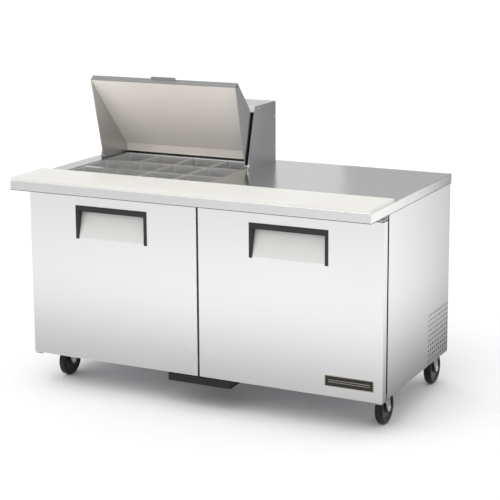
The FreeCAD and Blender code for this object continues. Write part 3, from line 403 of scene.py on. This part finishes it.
def castor_rubber(name, castor):
    """Wheel: matt tread with scuffs outside, a smoother moulded hub inside."""
    wheel = Shader(name)
    low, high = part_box("castor_wheel_" + castor)
    middle = (low + high) / 2
    _, y, z = wheel.axes()
    out = ((y - middle.y) ** 2.0 + (z - middle.z) ** 2.0) ** 0.5
    tread = out > (high.z - low.z) / 2 - TREAD_DEPTH
    scuff, fine = wheel.noise(70.0, 4.0, 0.65), wheel.noise(1200.0)
    tone = wheel.tint(scuff, (0.005, 0.005, 0.006), (0.016, 0.017, 0.018))
    hub = wheel.tint(scuff, (0.010, 0.011, 0.013), (0.030, 0.032, 0.036))
    wheel.set(base_color=wheel.tint(tread, hub, tone), specular_ior_level=0.25,
              roughness=varied(0.26, (scuff, 0.18)) + tread * 0.12)
    return wheel.bump(fine * 0.6 + scuff * 0.4, 0.25, 0.0003).material


def finned(name, across, low=0.42, high=0.80, metal=1.0):
    """Cooling fins: fine ribs across the block, bare aluminium, or near black as painted shade."""
    fins = Shader(name)
    rib = fins.node("ShaderNodeMath", {"operation": "SINE"}, {0: fins.axes()[across] * FIN_PHASE})
    dust = fins.noise(40.0, 4.0)
    fins.set(base_color=fins.tint((rib * 0.3 + dust * 0.5 + 0.2).clamped(), grey(low), grey(high)),
             metallic=metal, roughness=dust * 0.2 + 0.3)
    return fins.bump(rib, 0.4, 0.0006).material


def copper(name):
    """Bright copper tube with uneven tarnish."""
    tube = Shader(name)
    tarnish = tube.noise(55.0, 4.0, 0.6)
    tube.set(base_color=tube.tint(tarnish, (0.42, 0.17, 0.08), (0.85, 0.46, 0.27)), metallic=1.0,
             roughness=tarnish * 0.3 + 0.18)
    return tube.bump(tarnish, 0.1, 0.0004).material


def foam_sheet(name, machine_front=None, machine_top=None):
    """White sheet over the foam, faintly dimpled; the machine space, if given, is painted dark grey
    as the shade behind the vent holes.
    """
    skin = Shader(name)
    dimple = skin.noise(45.0, 3.0)
    white = skin.tint(dimple, (0.74, 0.74, 0.72), (0.84, 0.84, 0.82))
    if machine_front is not None:
        _, y, z = skin.axes()
        # Painted shade: the machine space behind the vent holes turns near black.
        white = skin.tint((y > machine_front) * (z < machine_top), white, grey(0.02))
    skin.set(base_color=white, roughness=dimple * 0.1 + 0.4)
    return skin.bump(dimple, 0.12, 0.0008).material


def badge_enamel(name):
    """Gloss black plate with a pale metal border and two plain rules."""
    plate = Shader(name)
    low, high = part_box("door_badge")
    x, _, z = plate.axes()
    inside = (between(x, low.x + BADGE_BORDER, high.x - BADGE_BORDER)
              * between(z, low.z + BADGE_BORDER, high.z - BADGE_BORDER))
    middle = (low.z + high.z) / 2
    rules = (between(x, low.x + BADGE_RULE_INSET, high.x - BADGE_RULE_INSET)
             * (between(z, middle + BADGE_RULE_NEAR, middle + BADGE_RULE_FAR)
                + between(z, middle - BADGE_RULE_FAR, middle - BADGE_RULE_NEAR)))
    dark = (inside * (1 - rules)).clamped()
    fine = plate.noise(300.0, 3.0)
    black = plate.tint(fine, grey(0.010), grey(0.02))
    plate.set(base_color=plate.tint(dark, (0.62, 0.58, 0.48), black),
              metallic=0.9 - dark * 0.9, roughness=varied(0.28, (fine, 0.1)))
    return plate.bump(dark * -0.6 + fine * 0.1, 0.3, 0.0006).material


def studio_floor(name):
    """Plain pale floor."""
    floor = Shader(name)
    floor.set(base_color=floor.tint(floor.noise(0.6), grey(0.90), grey(0.93)), roughness=0.9,
              specular_ior_level=0.0)
    return floor.material


def shaded_card(name, *stops, along="y", start=0.0, run=1.0, fall=None):
    """Studio card whose tone changes along one axis, from start over a run of metres.

    fall maps the card's x and y to a factor that darkens it.
    """
    board = Shader(name)
    x, y, _ = board.axes()
    tone = board.ramp(((x if along == "x" else y) - start) / run, *stops)
    if fall:
        tone = board.tint(fall(x, y).clamped(), grey(0.0), tone)
    board.set(base_color=tone, roughness=0.9, specular_ior_level=0.0)
    return board.material


# ---- assigning finishes, and stage cards ----

def finish(material, *nodes):
    """Gives the named nodes one material."""
    for name in nodes:
        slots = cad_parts[name].data.materials
        slots.clear()
        slots.append(material)


def sheet_object(name, corners, material):
    """A flat four-cornered stage card."""
    mesh = bpy.data.meshes.new(name)
    mesh.from_pydata(corners, [], [range(len(corners))])
    mesh.materials.append(material)
    plane = bpy.data.objects.new(name, mesh)
    bpy.context.scene.collection.objects.link(plane)
    return plane


# ---- settings ----

class PrepTableFinishes(bpy.types.PropertyGroup):
    """Tones and gloss of the main sheets."""

    door_tone: FloatProperty(
        name="Door tone", description="Reflectance of the door sheets",
        default=0.92, min=0.2, max=1.0)
    counter_tone: FloatProperty(
        name="Counter tone", description="Reflectance of the counter sheet",
        default=0.70, min=0.2, max=1.0)
    # The fascia's tone sits above the counter's as painted light on the same sheet.
    fascia_lit_tone: FloatProperty(
        name="Fascia tone", description="Tone of the counter's turned-down edges, raised above the top as painted light",
        default=0.84, min=0.2, max=1.0)
    hood_tone: FloatProperty(
        name="Hood tone", description="Reflectance of the hood and lid sheets",
        default=0.66, min=0.2, max=1.0)
    steel_roughness: FloatProperty(
        name="Steel roughness", description="Blur of reflections in the brushed sheets",
        default=0.30, min=0.05, max=0.8, subtype="FACTOR")
    handle_colour: FloatVectorProperty(
        name="Handle colour", description="Moulded door handles",
        default=(0.014, 0.0145, 0.015), min=0.0, max=1.0, subtype="COLOR")


class PrepTableStudio(bpy.types.PropertyGroup):
    """Camera and light of the studio."""

    lens: FloatProperty(
        name="Lens", description="Focal length of the camera in millimetres",
        default=107.06, min=20.0, max=300.0)
    azimuth: FloatProperty(
        name="Azimuth", description="Camera's turn round the table from straight in front",
        default=math.radians(26.45), subtype="ANGLE")
    elevation: FloatProperty(
        name="Elevation", description="Camera's downward tilt",
        default=math.radians(10.96), subtype="ANGLE")
    roll: FloatProperty(
        name="Roll", description="Camera's turn about its own line of sight",
        default=math.radians(-0.32), subtype="ANGLE")
    key_power: FloatProperty(
        name="Key light", description="Strength of the broad key light", default=0.8, min=0.0)


def finishes():
    return bpy.context.scene.prep_table_finishes


# ---- one operator per piece or group of like pieces ----

class PREPTABLE_OT_counter(bpy.types.Operator):
    """Finishes the counter sheet and the cutting board"""
    bl_idname = "preptable.counter"
    bl_label = "Counter and board"

    def execute(self, context):
        settings = finishes()
        finish(counter_steel("Counter stainless", settings.counter_tone, settings.fascia_lit_tone, 0.2),
               "countertop")
        finish(board_plastic("Board polyethylene"), "cutting_board")
        return {"FINISHED"}


class PREPTABLE_OT_hood(bpy.types.Operator):
    """Finishes the hood and its screws"""
    bl_idname = "preptable.hood"
    bl_label = "Hood"

    def execute(self, context):
        settings = finishes()
        finish(brushed("Hood stainless", settings.hood_tone, settings.steel_roughness, "z"), "hood")
        finish(zinc("Screw plating", 0.78), "hood_fasteners")
        return {"FINISHED"}


class PREPTABLE_OT_lid(bpy.types.Operator):
    """Finishes the lid's outer sheet and its satin inner panel"""
    bl_idname = "preptable.lid"
    bl_label = "Lid"

    def execute(self, context):
        settings = finishes()
        finish(lid_steel("Lid stainless", settings.hood_tone, settings.steel_roughness), "lid_skin")
        finish(lid_inner_panel("Lid inner panel"), "lid_liner")
        return {"FINISHED"}


class PREPTABLE_OT_pans(bpy.types.Operator):
    """Finishes the food pans, their frame and the divider bars"""
    bl_idname = "preptable.pans"
    bl_label = "Pans and pan frame"

    def execute(self, context):
        pans = ["pan_row%d_%d" % (row + 1, column + 1)
                for row in range(PAN_ROWS) for column in range(PAN_COLUMNS)]
        finish(brushed("Pan stainless", 0.80, 0.30, "x", contrast=0.04), *pans)
        finish(brushed("Frame stainless", 0.72, 0.28, "x"), "pan_frame", "divider_bars")
        return {"FINISHED"}


class PREPTABLE_OT_doors(bpy.types.Operator):
    """Finishes the doors' sheets, inner pans, seals and handles"""
    bl_idname = "preptable.doors"
    bl_label = "Doors"

    def execute(self, context):
        settings = finishes()
        handle = moulded("Handle moulding", tuple(settings.handle_colour), 0.42)
        inner = foam_sheet("Door inner sheet")
        seal = rubber("Door seal")
        for door in DOORS:
            steel = door_steel(door.replace("_", " ").capitalize() + " stainless", door,
                               settings.door_tone, settings.steel_roughness)
            finish(steel, door + "_skin")
            finish(inner, door + "_liner")
            finish(seal, door + "_gasket")
            finish(handle, door + "_handle")
        return {"FINISHED"}


class PREPTABLE_OT_badge(bpy.types.Operator):
    """Finishes the plain badge on the right door"""
    bl_idname = "preptable.badge"
    bl_label = "Badge"

    def execute(self, context):
        finish(badge_enamel("Badge enamel"), "door_badge")
        return {"FINISHED"}


class PREPTABLE_OT_cabinet(bpy.types.Operator):
    """Finishes the cabinet's panels, frame, liner, shelves and lower cover"""
    bl_idname = "preptable.cabinet"
    bl_label = "Cabinet"

    def execute(self, context):
        settings = finishes()
        for side in ("left", "right"):
            node = "side_panel_" + side
            finish(side_steel(side.capitalize() + " side stainless", node,
                              min(settings.door_tone + 0.05, 1.0), settings.steel_roughness), node)
        finish(zinc("Galvanised sheet", 0.66, 0.16), "rear_panel", "base_frame")
        finish(zinc("Bracket plating"), "hinge_brackets")
        finish(painted("White enamel", (0.82, 0.83, 0.82), 0.35), "cabinet_liner",
               "evaporator_cover")
        finish(frame_enamel("Door frame enamel"), "front_frame")
        finish(painted("Coated wire", (0.84, 0.85, 0.84), 0.28, 600.0), "wire_shelves")
        machine_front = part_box("condenser_coil")[0].y - MACHINE_SHADE_LEAD
        machine_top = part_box("refrigerant_lines")[1].z + 1 * MM
        finish(foam_sheet("Foam skin", machine_front, machine_top), "insulated_body")
        finish(moulded("Lower cover moulding", (0.006, 0.006, 0.0055), 0.62, 420.0, 0.3),
               "lower_front_cover")
        return {"FINISHED"}


class PREPTABLE_OT_machinery(bpy.types.Operator):
    """Finishes the cooling machinery, its fans, the thermostat knob and the lead's gland"""
    bl_idname = "preptable.machinery"
    bl_label = "Cooling machinery"

    def execute(self, context):
        finish(painted("Black enamel", grey(0.020), 0.28, 90.0), "compressor", "condenser_shroud")
        # The condenser coil's fins are near black and not metallic: painted shade behind the vent
        # holes.
        finish(finned("Condenser fins in painted shade", 1, 0.004, 0.012, 0.0), "condenser_coil")
        finish(finned("Evaporator fins", 0), "evaporator_coil")
        finish(brushed("Fan aluminium", 0.75, 0.34, "z"), "condenser_fan", "evaporator_fan")
        finish(copper("Copper tube"), "refrigerant_lines")
        finish(moulded("Knob moulding", (0.03, 0.03, 0.032), 0.36), "temperature_knob")
        finish(moulded("Gland moulding", grey(0.02), 0.45), "power_gland")
        return {"FINISHED"}


class PREPTABLE_OT_castors(bpy.types.Operator):
    """Finishes the castors' plates, forks, wheels and brake pedals"""
    bl_idname = "preptable.castors"
    bl_label = "Castors"

    def execute(self, context):
        plating = zinc("Castor plating", 0.86)
        finish(plating, "castor_plates", *["castor_fork_" + castor for castor in CASTORS])
        for castor in CASTORS:
            finish(castor_rubber(castor.replace("_", " ").capitalize() + " wheel", castor),
                   "castor_wheel_" + castor)
        pedal = moulded("Pedal moulding", (0.016, 0.016, 0.017), 0.45)
        finish(pedal, "brake_pedal_front_left", "brake_pedal_front_right")
        return {"FINISHED"}


class PREPTABLE_OT_stage(bpy.types.Operator):
    """Sets the floor, lights and camera"""
    bl_idname = "preptable.stage"
    bl_label = "Studio"

    def execute(self, context):
        studio = context.scene.prep_table_studio
        far = FLOOR_REACH
        corners = [(-far, -far, 0), (far, -far, 0), (far, far, 0), (-far, far, 0)]
        floor = sheet_object("Floor", corners, studio_floor("Floor paint"))
        floor.location.z = -FLOOR_DROP
        make_flags()
        make_world(context.scene)
        make_lights(studio)
        make_camera(context.scene, studio)
        context.scene.view_settings.view_transform = "Standard"
        return {"FINISHED"}


def upright_card(name, left, right, low, high, material):
    """A card behind the table, parallel to its back."""
    y = CARD_BEHIND
    return sheet_object(name, [(left, y, low), (right, y, low), (right, y, high), (left, y, high)],
                        material)


def lying_card(name, left, right, near, far, material):
    """A card that lies on the floor."""
    z = CARD_LIFT
    return sheet_object(name, [(left, near, z), (right, near, z), (right, far, z), (left, far, z)],
                        material)


def make_flags():
    """Cards that only the steel reflects: two upright behind the table, two on the floor."""
    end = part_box("countertop")[1].x
    reach_per_metre, fall_rate = 2.75, 1.2
    dark = shaded_card("Flag cloth", (0.0, 0.18), (1.0, 0.18))
    front = shaded_card("Front card", (0.0, 0.42), (0.09, 0.54), (0.18, 1.0), (0.36, 1.0),
                        (0.48, 0.66), (1.0, 0.66), start=CARD_IN_FRONT, run=-6.0,
                        fall=lambda x, y: (x + 0.6) * 0.06 + 1.0)
    right = shaded_card("Right card", (0.0, 0.12), (0.08, 0.20), (0.20, 0.50), (0.36, 1.0),
                        (1.0, 1.0), along="x", start=end, run=2.0,
                        fall=lambda x, y: ((x - end) * reach_per_metre - y) * fall_rate + 1.0)
    back = shaded_card("Back card", (0.0, 0.50), (1.0, 0.50))
    for card in (upright_card("Card_back", -0.45, 0.25, 0.9, 2.0, back),
                 upright_card("Flag_hood", 0.3, 1.5, 0.35, 1.8, dark),
                 lying_card("Card_front", -5, 6, -8, CARD_IN_FRONT, front),
                 lying_card("Card_right", 0.8, 6, -0.3, 8, right)):
        card.visible_camera = False
        card.visible_shadow = False
        card.visible_diffuse = False


def make_world(scene):
    """White for the camera; for reflections, bright overhead and grey towards the horizon."""
    world = bpy.data.worlds.new("Studio")
    scene.world = world
    world.use_nodes = True
    nodes, links = world.node_tree.nodes, world.node_tree.links
    nodes.clear()
    output = nodes.new("ShaderNodeOutputWorld")
    split = nodes.new("ShaderNodeSeparateXYZ")
    links.new(nodes.new("ShaderNodeTexCoord").outputs["Generated"], split.inputs[0])
    ramp = nodes.new("ShaderNodeValToRGB")
    set_stops(ramp.color_ramp, ((0.0, 0.74), (0.25, 0.74), (0.6, 1.0), (1.0, 1.1)))
    links.new(split.outputs["Z"], ramp.inputs["Fac"])
    lit, seen = nodes.new("ShaderNodeBackground"), nodes.new("ShaderNodeBackground")
    links.new(ramp.outputs["Color"], lit.inputs["Color"])
    seen.inputs["Color"].default_value = (1.0, 1.0, 1.0, 1.0)
    blend = nodes.new("ShaderNodeMixShader")
    links.new(nodes.new("ShaderNodeLightPath").outputs["Is Camera Ray"], blend.inputs[0])
    links.new(lit.outputs[0], blend.inputs[1])
    links.new(seen.outputs[0], blend.inputs[2])
    links.new(blend.outputs[0], output.inputs["Surface"])


def make_lights(studio):
    """One broad light from above the front, a little to the left."""
    key = bpy.data.lights.new("Key", "SUN")
    key.energy = studio.key_power
    key.angle = math.radians(50)
    lamp = bpy.data.objects.new("Key", key)
    lamp.rotation_euler = (math.radians(38), 0, math.radians(-12))
    bpy.context.scene.collection.objects.link(lamp)


def make_camera(scene, studio):
    """Camera in front and to the right of the table, a little above the counter."""
    lens = bpy.data.cameras.new("Camera")
    lens.lens = studio.lens
    lens.sensor_width = 36.0
    lens.shift_y = CAMERA_SHIFT
    lens.clip_end = 200.0
    camera = bpy.data.objects.new("Camera", lens)
    scene.collection.objects.link(camera)
    turn, rise = studio.azimuth, studio.elevation
    back = Vector((math.sin(turn) * math.cos(rise), -math.cos(turn) * math.cos(rise),
                   math.sin(rise)))
    camera.rotation_mode = "QUATERNION"
    tilt = Quaternion((0, 0, 1), studio.roll)
    camera.rotation_quaternion = (-back).to_track_quat("-Z", "Y") @ tilt
    camera.location = CAMERA_PLACE
    scene.camera = camera


class PREPTABLE_PT_panel(bpy.types.Panel):
    """Lists the table's pieces, its finishes and the studio"""
    bl_idname = "PREPTABLE_PT_panel"
    bl_label = "Prep table"
    bl_space_type = "VIEW_3D"
    bl_region_type = "UI"
    bl_category = "Prep Table"

    def draw(self, context):
        layout = self.layout
        for group in (context.scene.prep_table_finishes, context.scene.prep_table_studio):
            column = layout.column()
            for name in group.__annotations__:
                column.prop(group, name)
        for operator in OPERATORS:
            layout.operator(operator.bl_idname)


OPERATORS = (PREPTABLE_OT_counter, PREPTABLE_OT_hood, PREPTABLE_OT_lid, PREPTABLE_OT_pans,
             PREPTABLE_OT_doors, PREPTABLE_OT_badge, PREPTABLE_OT_cabinet, PREPTABLE_OT_machinery,
             PREPTABLE_OT_castors, PREPTABLE_OT_stage)
CLASSES = (PrepTableFinishes, PrepTableStudio, *OPERATORS, PREPTABLE_PT_panel)


def register():
    for item in CLASSES:
        bpy.utils.register_class(item)
    bpy.types.Scene.prep_table_finishes = PointerProperty(type=PrepTableFinishes)
    bpy.types.Scene.prep_table_studio = PointerProperty(type=PrepTableStudio)


def unregister():
    del bpy.types.Scene.prep_table_studio
    del bpy.types.Scene.prep_table_finishes
    for item in reversed(CLASSES):
        bpy.utils.unregister_class(item)


def main():
    register()
    for operator in OPERATORS:
        group, name = operator.bl_idname.split(".")
        getattr(getattr(bpy.ops, group), name)()


if __name__ == "__main__":
    main()
